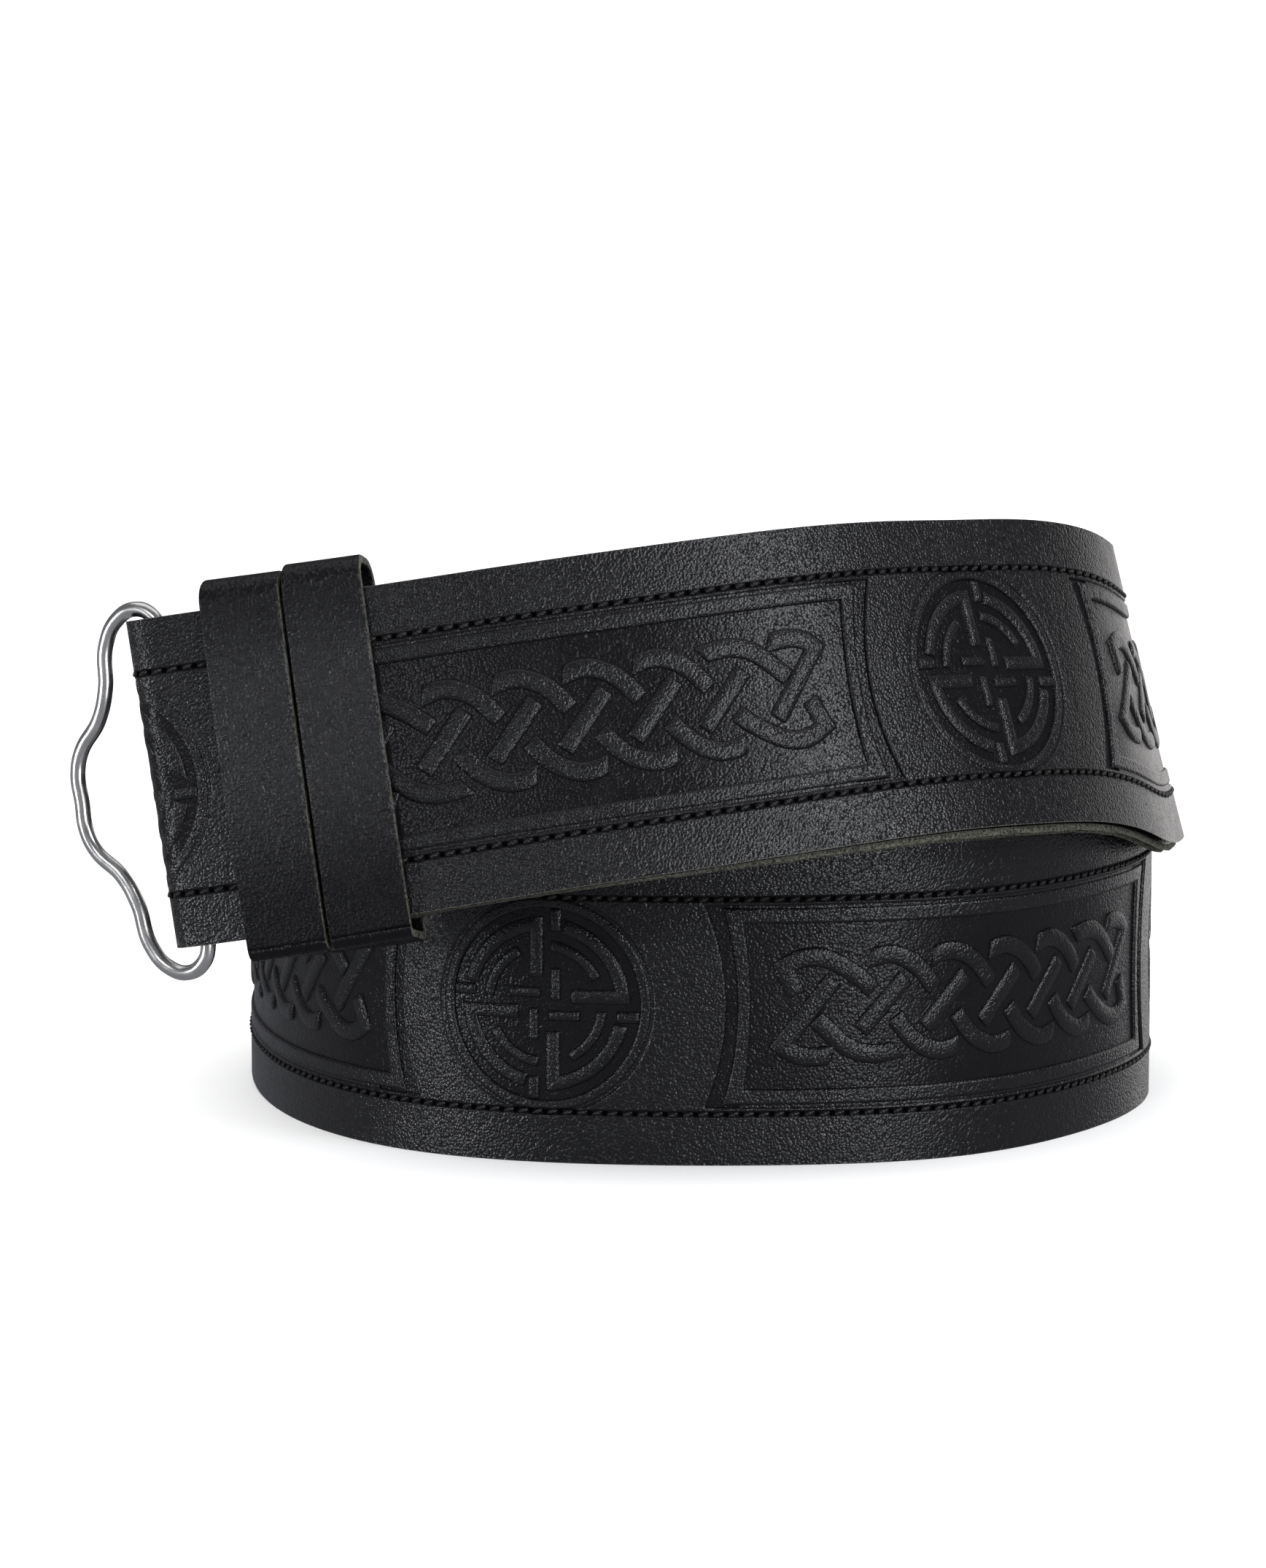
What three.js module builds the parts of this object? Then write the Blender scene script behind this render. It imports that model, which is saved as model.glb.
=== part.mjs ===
// A kilt belt, coiled and standing on its lower edge, in millimetres with +Z up.
// The strap is two leather layers. It turns back round the bar of a wire loop,
// and two leather keepers hold the turned-back end.
import * as THREE from "three";

// Strap
const strapWidth = 57;
const faceThickness = 1.6;
const backingThickness = 1.6;
const layerGap = 0.3;

// Each layer of the strap is in several lengths that meet at seams, placed as shares of it.
const seamShares = [0.3, 0.55, 0.8];
const seamGap = 0.1;

// Coil
const coilRadius = 90;
const turnGap = 0.5;

// Buckle loop, of one wire, and the fold that holds its bar
const wireDiameter = 2.7;
const loopReach = 18.8;
const barClearance = 0.6;
const flapLength = 42;

// Keepers, set out from the bar
const keeperWidth = 13.8;
const keeperThickness = 1.7;
const keeperStart = 10.2;
const keeperSpacing = 0.7;
const keeperRoomAbove = 3.5;
const keeperRoomBelow = 2.3;
const keeperCornerRadius = 3;
const fitGap = 0.4;

// Fineness of the meshes
const samplesPerSection = 24;
const strapStep = 4;
const foldSteps = 8;
const flapSteps = 12;
const loopSegments = 110;
const wireSides = 12;
const cornerSteps = 6;

// The strap's route, seen from above: a row for each section, from the fold at the front,
// round the coil, to the free end inside it.
// turn is the way round the coil in degrees, reach the distance from the coil's middle as a
// share of coilRadius, rise the height of the lower edge as a share of strapWidth, and lean
// the degrees by which the upper edge tips in.
const sections = [
  { turn: -128.4, reach: 1.609, rise: 0.73, lean: 0.5 },
  { turn: -116, reach: 1.481, rise: 0.831, lean: 10.5 },
  { turn: -104, reach: 1.413, rise: 0.931, lean: 16 },
  { turn: -92, reach: 1.361, rise: 1.0, lean: 18 },
  { turn: -80, reach: 1.3, rise: 1.054, lean: 20 },
  { turn: -69, reach: 1.232, rise: 1.08, lean: 23 },
  { turn: -59, reach: 1.17, rise: 1.066, lean: 23 },
  { turn: -49, reach: 1.122, rise: 1.044, lean: 20 },
  { turn: -39, reach: 1.074, rise: 0.975, lean: 15 },
  { turn: -28, reach: 1.006, rise: 0.87, lean: 13 },
  { turn: -14, reach: 0.96, rise: 0.867, lean: 15 },
  { turn: 4, reach: 0.923, rise: 0.796, lean: 17 },
  { turn: 30, reach: 0.907, rise: 0.675, lean: 14 },
  { turn: 60, reach: 0.913, rise: 0.535, lean: 9 },
  { turn: 95, reach: 0.921, rise: 0.386, lean: 6 },
  { turn: 130, reach: 0.928, rise: 0.239, lean: 3 },
  { turn: 160, reach: 0.932, rise: 0.105, lean: 1 },
  { turn: 185, reach: 0.946, rise: 0.018, lean: 0 },
  { turn: 204, reach: 0.974, rise: 0, lean: 0 },
  { turn: 222, reach: 1.046, rise: 0, lean: 0 },
  { turn: 240, reach: 1.117, rise: 0, lean: 0 },
  { turn: 258, reach: 1.089, rise: 0, lean: 0 },
  { turn: 276, reach: 1.08, rise: 0, lean: 0 },
  { turn: 294, reach: 1.126, rise: 0, lean: 0 },
  { turn: 312, reach: 1.059, rise: 0, lean: 0 },
  { turn: 329, reach: 1.013, rise: 0, lean: 0 },
  { turn: 345, reach: 0.968, rise: 0, lean: 0 },
  { turn: 362, reach: 0.904, rise: 0, lean: 0 },
  { turn: 390, reach: 0.873, rise: 0, lean: 0 },
  { turn: 425, reach: 0.881, rise: 0, lean: 0 },
  { turn: 460, reach: 0.904, rise: 0, lean: 0 },
  { turn: 490, reach: 0.91, rise: 0, lean: 0 },
  { turn: 515, reach: 0.902, rise: 0, lean: 0 },
];

// The upper half of the buckle loop's centre line, from the bar's middle round to the outer
// run's middle: away from the bar as a share of loopReach, up as a share of strapWidth.
const loopOutline = [
  { away: 0, up: 0 },
  { away: 0, up: 0.246 },
  { away: 0, up: 0.421 },
  { away: 0, up: 0.484 },
  { away: 0.069, up: 0.532 },
  { away: 0.229, up: 0.558 },
  { away: 0.426, up: 0.535 },
  { away: 0.58, up: 0.461 },
  { away: 0.654, up: 0.33 },
  { away: 0.777, up: 0.233 },
  { away: 0.941, up: 0.163 },
  { away: 1, up: 0.081 },
  { away: 1, up: 0 },
];

const strapThickness = faceThickness + layerGap + backingThickness;
const foldRadius = wireDiameter / 2 + barClearance + strapThickness;
const barAt = foldRadius;
const flapEnd = barAt + flapLength;
const lastSection = sections.length - 1;

// A whole turn in degrees, and half a turn in radians
const fullTurn = 360;
const halfTurn = Math.PI;

// A column of the sections, smoothed by a uniform cubic B-spline; place counts the rows.
function smoothed(column, place) {
  const row = Math.min(Math.floor(place), lastSection - 1);
  const u = place - row;
  const value = (index) => {
    if (index < 0) return 2 * column[0] - column[1];
    if (index > lastSection) return 2 * column[lastSection] - column[lastSection - 1];
    return column[index];
  };
  const weights = [
    (1 - u) ** 3,
    3 * u ** 3 - 6 * u ** 2 + 4,
    -3 * u ** 3 + 3 * u ** 2 + 3 * u + 1,
    u ** 3,
  ];
  return weights.reduce((sum, weight, k) => sum + weight * value(row - 1 + k), 0) / 6;
}

// Each turn lies outside the ones that come after it, and stands off further by what its lean
// brings it in over their upper edge.
function footDistance({ turn, reach, rise, lean }) {
  const turnsInside = (sections[lastSection].turn - turn) / fullTurn;
  const overlap = Math.max(0, strapWidth * (1 - rise));
  const leanRoom = overlap * Math.tan(THREE.MathUtils.degToRad(lean));
  return coilRadius * reach + (strapThickness + turnGap) * turnsInside + leanRoom;
}

const turnColumn = sections.map((row) => row.turn);
const distanceColumn = sections.map(footDistance);
const riseColumn = sections.map((row) => row.rise * strapWidth);
const leanColumn = sections.map((row) => row.lean);

// The lower edge of the strap's outer face.
function footAt(place) {
  const angle = THREE.MathUtils.degToRad(smoothed(turnColumn, place));
  const distance = smoothed(distanceColumn, place);
  return new THREE.Vector3(
    distance * Math.cos(angle),
    distance * Math.sin(angle),
    smoothed(riseColumn, place),
  );
}

// The middle of the outer face, and its directions: along the strap, across it towards the
// upper edge, and out of the coil.
function frameAt(place) {
  const nudge = 0.01;
  const before = footAt(Math.max(place - nudge, 0));
  const along = footAt(Math.min(place + nudge, lastSection)).sub(before).normalize();
  const level = new THREE.Vector3(along.y, -along.x, 0).normalize();
  const upright = level.clone().cross(along);
  const lean = THREE.MathUtils.degToRad(smoothed(leanColumn, place));
  const across = upright
    .clone()
    .multiplyScalar(Math.cos(lean))
    .addScaledVector(level, -Math.sin(lean));
  const out = level
    .multiplyScalar(Math.cos(lean))
    .addScaledVector(upright, Math.sin(lean));
  const middle = footAt(place).addScaledVector(across, strapWidth / 2);
  return { middle, along, across, out };
}

// The route in close samples, each with its length from the fold.
const route = [];
for (let i = 0; i <= lastSection * samplesPerSection; i += 1) {
  const frame = frameAt(i / samplesPerSection);
  const last = route[i - 1];
  frame.length = last ? last.length + frame.middle.distanceTo(last.middle) : 0;
  route.push(frame);
}
const strapLength = route[route.length - 1].length;

function frameAtLength(length) {
  const found = route.findIndex((sample) => sample.length >= length);
  const next = Math.max(1, found < 0 ? route.length - 1 : found);
  const a = route[next - 1];
  const b = route[next];
  const share = (length - a.length) / (b.length - a.length);
  const between = (key) => a[key].clone().lerp(b[key], share);
  return {
    middle: between("middle"),
    along: between("along").normalize(),
    across: between("across").normalize(),
    out: between("out").normalize(),
  };
}

// A point of the strap: its length from the fold, its height over the outer face and its
// distance from the middle line.
function strapPoint(length, height, side) {
  const frame = frameAtLength(length);
  return frame.middle.addScaledVector(frame.out, height).addScaledVector(frame.across, side);
}

// A closed body through rings of points with the same count. A loop joins its last ring to
// its first, and an open run gets a flat end at each side. The inner half of each ring is
// split along the same diagonals as the outer half, so that layers stay evenly apart.
function loft(rings, isLoop) {
  const count = rings[0].length;
  const positions = rings.flat().flatMap((point) => point.toArray());
  const faces = [];
  const spans = isLoop ? rings.length : rings.length - 1;
  for (let i = 0; i < spans; i += 1) {
    const near = i * count;
    const far = ((i + 1) % rings.length) * count;
    for (let j = 0; j < count; j += 1) {
      const k = (j + 1) % count;
      if (j < count / 2) {
        faces.push([near + j, near + k, far + k], [near + j, far + k, far + j]);
      } else {
        faces.push([near + j, near + k, far + j], [near + k, far + k, far + j]);
      }
    }
  }
  if (!isLoop) {
    const end = (rings.length - 1) * count;
    for (let j = 1; j < count - 1; j += 1) {
      faces.push([0, j + 1, j], [end, end + j, end + j + 1]);
    }
  }
  const geometry = new THREE.BufferGeometry();
  geometry.setAttribute("position", new THREE.Float32BufferAttribute(positions, 3));
  geometry.setIndex(faces.flat());
  geometry.computeVertexNormals();
  return geometry;
}

// How deep the turned-back end's own outer face lies behind the strap's: it starts a fold's
// width back and closes up to the strap.
function flapDepth(length) {
  const closed = 2 * strapThickness + layerGap;
  const share = THREE.MathUtils.smoothstep(length, barAt, flapEnd);
  return THREE.MathUtils.lerp(2 * foldRadius, closed, share);
}

// The strap's stations, from its turned-back end: each gives the length and the height of a
// point that lies some depth behind the outer face.
function turnedEnd() {
  const stations = [];
  for (let i = 0; i <= flapSteps; i += 1) {
    const length = flapEnd - (flapLength * i) / flapSteps;
    stations.push((depth) => [length, depth - flapDepth(length)]);
  }
  for (let i = 1; i < foldSteps; i += 1) {
    const angle = halfTurn * (1 - i / foldSteps);
    stations.push((depth) => [
      barAt - (foldRadius - depth) * Math.sin(angle),
      (foldRadius - depth) * Math.cos(angle) - foldRadius,
    ]);
  }
  return stations;
}

function run(from, to) {
  const steps = Math.ceil((to - from) / strapStep);
  return Array.from({ length: steps + 1 }, (_, i) => {
    const length = from + ((to - from) * i) / steps;
    return (depth) => [length, -depth];
  });
}

// A length of one layer, between two depths behind the outer face.
function layer(stations, top, bottom) {
  const sides = [strapWidth / 2, 0, -strapWidth / 2];
  const rings = stations.map((at) => [
    ...sides.map((side) => strapPoint(...at(top), side)),
    ...sides.toReversed().map((side) => strapPoint(...at(bottom), side)),
  ]);
  return loft(rings, false);
}

// The wire loop lies in the plane of the strap at its bar.
function buckleLoop() {
  const { middle, along, across, out } = frameAtLength(barAt);
  const bar = middle.addScaledVector(out, -foldRadius);
  const upper = loopOutline.slice(1, -1);
  const lower = upper.toReversed().map(({ away, up }) => ({ away, up: -up }));
  const outline = [loopOutline[0], ...upper, loopOutline[loopOutline.length - 1], ...lower];
  const points = outline.map(({ away, up }) =>
    bar
      .clone()
      .addScaledVector(along, -away * loopReach)
      .addScaledVector(across, up * strapWidth),
  );
  const centreLine = new THREE.CatmullRomCurve3(points, true, "centripetal");
  return new THREE.TubeGeometry(centreLine, loopSegments, wireDiameter / 2, wireSides, true);
}

// A keeper goes round the strap and its turned-back end as a rounded rectangle. Its bends are
// the four corners, with a flat bend halfway along the back and the front.
function keeper(start) {
  const end = start + keeperWidth;
  const front = fitGap - keeperCornerRadius;
  const back = keeperCornerRadius - flapDepth(start) - fitGap;
  const upper = strapWidth / 2 + keeperRoomAbove - keeperCornerRadius;
  const lower = keeperCornerRadius - strapWidth / 2 - keeperRoomBelow;
  const quarter = halfTurn / 2;
  const bends = [
    { height: front, side: upper, from: 0, to: quarter },
    { height: back, side: upper, from: quarter, to: halfTurn },
    { height: back, side: 0, from: halfTurn, to: halfTurn },
    { height: back, side: lower, from: halfTurn, to: 3 * quarter },
    { height: front, side: lower, from: 3 * quarter, to: 2 * halfTurn },
    { height: front, side: 0, from: 2 * halfTurn, to: 2 * halfTurn },
  ];
  const lengths = [start, (start + end) / 2, end];
  const rings = [];
  for (const { height, side, from, to } of bends) {
    const steps = from === to ? 0 : cornerSteps;
    for (let i = 0; i <= steps; i += 1) {
      const angle = from + ((to - from) * i) / Math.max(steps, 1);
      const skin = (length, radius) =>
        strapPoint(length, height + radius * Math.cos(angle), side + radius * Math.sin(angle));
      const outer = keeperCornerRadius + keeperThickness;
      rings.push([
        ...lengths.map((length) => skin(length, outer)),
        ...lengths.toReversed().map((length) => skin(length, keeperCornerRadius)),
      ]);
    }
  }
  return loft(rings, true);
}

const faceLeather = new THREE.MeshStandardMaterial({
  color: 0x1c1c1f,
  roughness: 0.5,
  metalness: 0,
});
const backingLeather = new THREE.MeshStandardMaterial({
  color: 0x2b2924,
  roughness: 0.8,
  metalness: 0,
});
const keeperLeather = new THREE.MeshStandardMaterial({
  color: 0x202024,
  roughness: 0.6,
  metalness: 0,
});
const nickel = new THREE.MeshStandardMaterial({
  color: 0xc9c8c4,
  roughness: 0.18,
  metalness: 1,
});

const coil = new THREE.Group();

function add(name, geometry, material) {
  const mesh = new THREE.Mesh(geometry, material);
  mesh.name = name;
  coil.add(mesh);
}

const ends = [barAt, ...seamShares.map((share) => strapLength * share), strapLength];
const backingTop = faceThickness + layerGap;
for (let i = 1; i < ends.length; i += 1) {
  const isFirst = i === 1;
  const plain = run(isFirst ? barAt : ends[i - 1] + seamGap, ends[i]);
  const stations = isFirst ? [...turnedEnd(), ...plain] : plain;
  add(`strap_face_${i}`, layer(stations, 0, faceThickness), faceLeather);
  add(`strap_backing_${i}`, layer(stations, backingTop, strapThickness), backingLeather);
}
add("buckle_loop", buckleLoop(), nickel);
for (let i = 0; i < 2; i += 1) {
  const start = barAt + keeperStart + i * (keeperWidth + keeperSpacing);
  add(`keeper_${i + 1}`, keeper(start), keeperLeather);
}

// The belt stands on its lower edge, with its box centred on the origin.
const box = new THREE.Box3().setFromObject(coil, true);
const centre = box.getCenter(new THREE.Vector3());
coil.position.set(-centre.x, -centre.y, -box.min.z);

const belt = new THREE.Group();
belt.add(coil);

export default belt;
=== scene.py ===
"""The looks of a coiled kilt belt: embossed and stitched strap, two keepers and a wire loop."""
import math
from collections import namedtuple

import bpy
import numpy as np
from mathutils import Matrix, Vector


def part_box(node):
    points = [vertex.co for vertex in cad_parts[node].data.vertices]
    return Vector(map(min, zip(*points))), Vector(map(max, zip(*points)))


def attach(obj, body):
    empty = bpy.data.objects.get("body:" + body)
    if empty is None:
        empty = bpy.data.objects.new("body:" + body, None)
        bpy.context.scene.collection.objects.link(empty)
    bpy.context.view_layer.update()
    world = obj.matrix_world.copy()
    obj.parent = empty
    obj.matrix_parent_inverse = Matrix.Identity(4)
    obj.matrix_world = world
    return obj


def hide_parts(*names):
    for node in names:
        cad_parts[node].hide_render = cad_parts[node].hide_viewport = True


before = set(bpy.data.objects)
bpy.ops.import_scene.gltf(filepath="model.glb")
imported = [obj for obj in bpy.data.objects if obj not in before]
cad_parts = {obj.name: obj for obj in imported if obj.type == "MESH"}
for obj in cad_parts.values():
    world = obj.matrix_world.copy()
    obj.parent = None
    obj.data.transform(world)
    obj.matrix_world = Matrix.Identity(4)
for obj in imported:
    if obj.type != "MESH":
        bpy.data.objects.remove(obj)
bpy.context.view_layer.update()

MM = 0.001

# Strap, of an embossed face and a plain backing
STRAP_WIDTH = 57 * MM
FACE_THICKNESS = 1.6 * MM
BACKING_THICKNESS = 1.6 * MM
LAYER_GAP = 0.3 * MM
STRAP_THICKNESS = FACE_THICKNESS + LAYER_GAP + BACKING_THICKNESS
EDGE_ROUNDING = 0.16 * MM

# Raw edge of the backing, which shows below the face along the upper turn
FOOT_OVERHANG = 1.1 * MM
OVERHANG_GROWS = (60 * MM, 150 * MM)
OVERHANG_FADES = (310 * MM, 370 * MM)
OVERHANG_WAVES = (1.9 * MM, 5.3 * MM)
OVERHANG_UNEVEN = 0.12

# Coil
COIL_RADIUS = 90 * MM
TURN_GAP = 0.5 * MM

# Wire loop and the fold that holds its bar
WIRE_DIAMETER = 2.7 * MM
LOOP_REACH = 18.8 * MM
LOOP_DROP = 1.3 * MM
BAR_CLEARANCE = 0.6 * MM
FLAP_LENGTH = 42 * MM
FOLD_RADIUS = WIRE_DIAMETER / 2 + BAR_CLEARANCE + STRAP_THICKNESS
BAR_AT = FOLD_RADIUS
FLAP_END = BAR_AT + FLAP_LENGTH

# Keepers, set out from the bar. RUN_CUTS and BEND_CUTS are the cuts across each straight run and
# each bend of a keeper's strip.
KEEPER_WIDTH = 13.8 * MM
KEEPER_THICKNESS = 1.7 * MM
KEEPER_RIM = 0.45 * MM
KEEPER_START = 10.2 * MM
KEEPER_SPACING = 0.7 * MM
KEEPER_ROOM_ABOVE = 3.5 * MM
KEEPER_ROOM_BELOW = 2.3 * MM
KEEPER_CORNER_RADIUS = 3 * MM
KEEPER_FOOT_RADIUS = 0.4 * MM
SECOND_KEEPER_RISE = 0.9 * MM
KEEPER_BOW = 0.7 * MM
FIT_GAP = 0.4 * MM
RUN_CUTS = 17
BEND_CUTS = 9

# Embossed pattern: a round medallion, then a framed panel of knotwork, and so on
PATTERN_REPEAT = 166.95 * MM
FIRST_MEDALLION = -7.2 * MM
END_MARGIN = 2 * MM
RELIEF = 0.6 * MM
RIM = 0.55 * MM
LINE_WIDTH = 0.3 * MM
LINE_DEPTH = 0.28 * MM
RING_OUTER = 19.3 * MM
RING_INNER = 17.3 * MM
RING_POINTS = 72

# Round the fold the relief is pressed flat to this share of its height
RELIEF_AT_FOLD = 0.25
RELIEF_GROWS = (2 * MM, 14 * MM)

# Panels, from the outer line in: half the height, how far an end is from the medallion's middle,
# and how much nearer to it the corners are. PANEL_SHIFT moves the whole panel along.
PANEL_SHIFT = 1.9 * MM
FRAME_HALF_HEIGHT = 17.7 * MM
CELL_END = 30.8 * MM
CELL_END_DROP = 3.7 * MM
FRAME_END = 32.7 * MM
FRAME_END_DROP = 2.7 * MM
PANEL_HALF_HEIGHT = 14.8 * MM
PANEL_END = 35.1 * MM
PANEL_END_DROP = 1.2 * MM

# The pattern lies askew round one place of the upper turn: its slope there, the place, and the
# reach on either side
SKEW = 0.09
SKEW_MIDDLE = 126 * MM
SKEW_REACH = 24 * MM

# Knotwork
KNOT_PITCH = 12.25 * MM
KNOT_CROSSINGS = 7
STRAND_WIDTH = 3.5 * MM
CURVE_STEP = 0.8 * MM

# Flat work: one repeat starts at TILE_START and is cut out with some to spare. It is then cut
# across at these steps, so that it can follow the coil and the fold.
TILE_START = 22.5 * MM
END_SPARE = 5 * MM
SIDE_SPARE = 2 * MM
OVERLAP = MM
BAND_FOOT = 0.15 * MM
COIL_STEP = 3 * MM
FOLD_STEP = 0.9 * MM
WELD_DISTANCE = 0.01 * MM
SMOOTH_ANGLE = 50

# Stitch lines. Slants are in degrees.
STITCH_SIDE = 19.25 * MM
STITCH_PITCH = 2.7 * MM
STITCH_LENGTH = 2.1 * MM
THREAD_WIDTH = 0.8 * MM
THREAD_SUNK = 0.03 * MM
STITCH_SLANT = 17
SLANT_SCATTER = 2.5
SIDE_SCATTER = 0.05 * MM
FIRST_STITCH = 3 * MM
UNSTITCHED = 4 * MM

# The strap's route, seen from above. turn is the way round the coil in degrees, reach the
# distance from the coil's middle as a share of COIL_RADIUS, rise the height of the lower edge as
# a share of STRAP_WIDTH, and lean the degrees by which the upper edge tips in.
Section = namedtuple("Section", "turn reach rise lean")
SECTIONS = [
    Section(-128.4, 1.609, 0.73, 0.5),
    Section(-116, 1.481, 0.831, 10.5),
    Section(-104, 1.413, 0.931, 16),
    Section(-92, 1.361, 1.0, 18),
    Section(-80, 1.3, 1.054, 20),
    Section(-69, 1.232, 1.08, 23),
    Section(-59, 1.17, 1.066, 23),
    Section(-49, 1.122, 1.044, 20),
    Section(-39, 1.074, 0.975, 15),
    Section(-28, 1.006, 0.87, 13),
    Section(-14, 0.96, 0.867, 15),
    Section(4, 0.923, 0.796, 17),
    Section(30, 0.907, 0.675, 14),
    Section(60, 0.913, 0.535, 9),
    Section(95, 0.921, 0.386, 6),
    Section(130, 0.928, 0.239, 3),
    Section(160, 0.932, 0.105, 1),
    Section(185, 0.946, 0.018, 0),
    Section(204, 0.974, 0, 0),
    Section(222, 1.046, 0, 0),
    Section(240, 1.117, 0, 0),
    Section(258, 1.089, 0, 0),
    Section(276, 1.08, 0, 0),
    Section(294, 1.126, 0, 0),
    Section(312, 1.059, 0, 0),
    Section(329, 1.013, 0, 0),
    Section(345, 0.968, 0, 0),
    Section(362, 0.904, 0, 0),
    Section(390, 0.873, 0, 0),
    Section(425, 0.881, 0, 0),
    Section(460, 0.904, 0, 0),
    Section(490, 0.91, 0, 0),
    Section(515, 0.902, 0, 0),
]
SAMPLES_PER_SECTION = 24

# The CAD strap is kept in these lengths, and the first one ends at this share of the whole
STRAP_LENGTHS = (1, 2, 3, 4)
SEAM_SHARE = 0.3

# The upper half of the wire loop's centre line, from the bar's middle to the outer run's
# middle: away from the bar as a share of LOOP_REACH, up as a share of STRAP_WIDTH.
LoopPoint = namedtuple("LoopPoint", "away up")
LOOP_OUTLINE = [
    LoopPoint(0, 0),
    LoopPoint(0, 0.246),
    LoopPoint(0, 0.421),
    LoopPoint(0, 0.484),
    LoopPoint(0.069, 0.532),
    LoopPoint(0.229, 0.558),
    LoopPoint(0.426, 0.535),
    LoopPoint(0.58, 0.461),
    LoopPoint(0.65, 0.33),
    LoopPoint(0.765, 0.24),
    LoopPoint(0.985, 0.155),
    LoopPoint(1.06, 0.085),
    LoopPoint(1.06, 0),
]


# Route


def smoothed(column, places):
    """A column of the sections, smoothed by a uniform cubic B-spline; places count the rows."""
    ghosts = [2 * column[0] - column[1], *column, 2 * column[-1] - column[-2]]
    values = np.array(ghosts, float)
    row = np.clip(np.floor(places).astype(int), 0, len(column) - 2)
    u = places - row
    weights = [(1 - u) ** 3, 3 * u**3 - 6 * u**2 + 4, -3 * u**3 + 3 * u**2 + 3 * u + 1, u**3]
    return sum(weight * values[row + k] for k, weight in enumerate(weights)) / 6


def foot_distance(section):
    """How far the strap's lower edge stands from the coil's middle."""
    turns_inside = (SECTIONS[-1].turn - section.turn) / 360
    overlap = max(0, STRAP_WIDTH * (1 - section.rise))
    lean_room = overlap * math.tan(math.radians(section.lean))
    return COIL_RADIUS * section.reach + (STRAP_THICKNESS + TURN_GAP) * turns_inside + lean_room


def foot_line(places):
    """The strap's lower edge, at places that count the sections."""
    angle = np.radians(smoothed([row.turn for row in SECTIONS], places))
    distance = smoothed([foot_distance(row) for row in SECTIONS], places)
    rise = smoothed([row.rise * STRAP_WIDTH for row in SECTIONS], places)
    return np.stack([distance * np.cos(angle), distance * np.sin(angle), rise], axis=1)


def unit(vectors):
    return vectors / np.linalg.norm(vectors, axis=1)[:, None]


def strap_route():
    """Close samples of the outer face's middle line, with its directions and length."""
    last = len(SECTIONS) - 1
    places = np.linspace(0, last, last * SAMPLES_PER_SECTION + 1)
    nudge = 0.01
    ahead = foot_line(np.minimum(places + nudge, last))
    along = unit(ahead - foot_line(np.maximum(places - nudge, 0)))
    level = unit(np.stack([along[:, 1], -along[:, 0], 0 * along[:, 0]], axis=1))
    upright = np.cross(level, along)
    lean = np.radians(smoothed([row.lean for row in SECTIONS], places))[:, None]
    across = upright * np.cos(lean) - level * np.sin(lean)
    out = level * np.cos(lean) + upright * np.sin(lean)
    middle = foot_line(places) + across * STRAP_WIDTH / 2
    steps = np.linalg.norm(np.diff(middle, axis=0), axis=1)
    length = np.concatenate([[0], np.cumsum(steps)])
    return {"middle": middle, "along": along, "across": across, "out": out, "length": length}


ROUTE = strap_route()
STRAP_LENGTH = ROUTE["length"][-1]


def at_length(key, length):
    values = [np.interp(length, ROUTE["length"], ROUTE[key][:, axis]) for axis in range(3)]
    return np.stack(values, axis=-1)


def strap_points(length, height, side):
    """Places by length from the fold, height over the outer face and side from its middle."""
    out = at_length("out", length)
    across = at_length("across", length)
    height = np.asarray(height)[..., None]
    side = np.asarray(side)[..., None]
    return at_length("middle", length) + out * height + across * side + COIL_MIDDLE


def coil_middle():
    """The coil's middle in the part's frame, found from the strap past its first seam."""
    inner = ROUTE["length"] > SEAM_SHARE * STRAP_LENGTH
    edges = [
        ROUTE["middle"][inner] + side * STRAP_WIDTH / 2 * ROUTE["across"][inner]
        for side in (-1, 1)
    ]
    edges = np.concatenate(edges)
    corners = np.array([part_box(f"strap_face_{number}") for number in STRAP_LENGTHS[1:]])
    node_middle = (corners.min((0, 1)) + corners.max((0, 1))) / 2
    middle = node_middle - (edges.min(0) + edges.max(0)) / 2
    middle[2] = 0
    return middle


COIL_MIDDLE = coil_middle()
FOLD_LENGTH = math.pi * FOLD_RADIUS
FLAP_START = BAR_AT - FOLD_LENGTH - FLAP_LENGTH


def smoothstep(value, low, high):
    share = np.clip((value - low) / (high - low), 0, 1)
    return share * share * (3 - 2 * share)


def flap_depth(length):
    """How far behind the strap's outer face the flap's own outer face lies."""
    closed = 2 * STRAP_THICKNESS + LAYER_GAP
    return 2 * FOLD_RADIUS + (closed - 2 * FOLD_RADIUS) * smoothstep(length, BAR_AT, FLAP_END)


def unrolled_points(way, side, height):
    """Where places on the flat strap come to lie: way runs from the flap's end, round the fold,
    to 0 at the fold's front and on along the strap."""
    depth = -height
    way = way + SKEW * side * np.exp(-(((way - SKEW_MIDDLE) / SKEW_REACH) ** 2))
    angle = np.clip((BAR_AT - way) / FOLD_RADIUS, 0, math.pi)
    fold_length = BAR_AT - (FOLD_RADIUS - depth) * np.sin(angle)
    fold_height = (FOLD_RADIUS - depth) * np.cos(angle) - FOLD_RADIUS
    on_flap = way < BAR_AT - FOLD_LENGTH
    flap_length = 2 * BAR_AT - FOLD_LENGTH - way
    length = np.where(way > BAR_AT, way, np.where(on_flap, flap_length, fold_length))
    flap_height = depth - flap_depth(flap_length)
    height = np.where(way > BAR_AT, height, np.where(on_flap, flap_height, fold_height))
    return strap_points(length, height, side)


# Modelling aids


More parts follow.
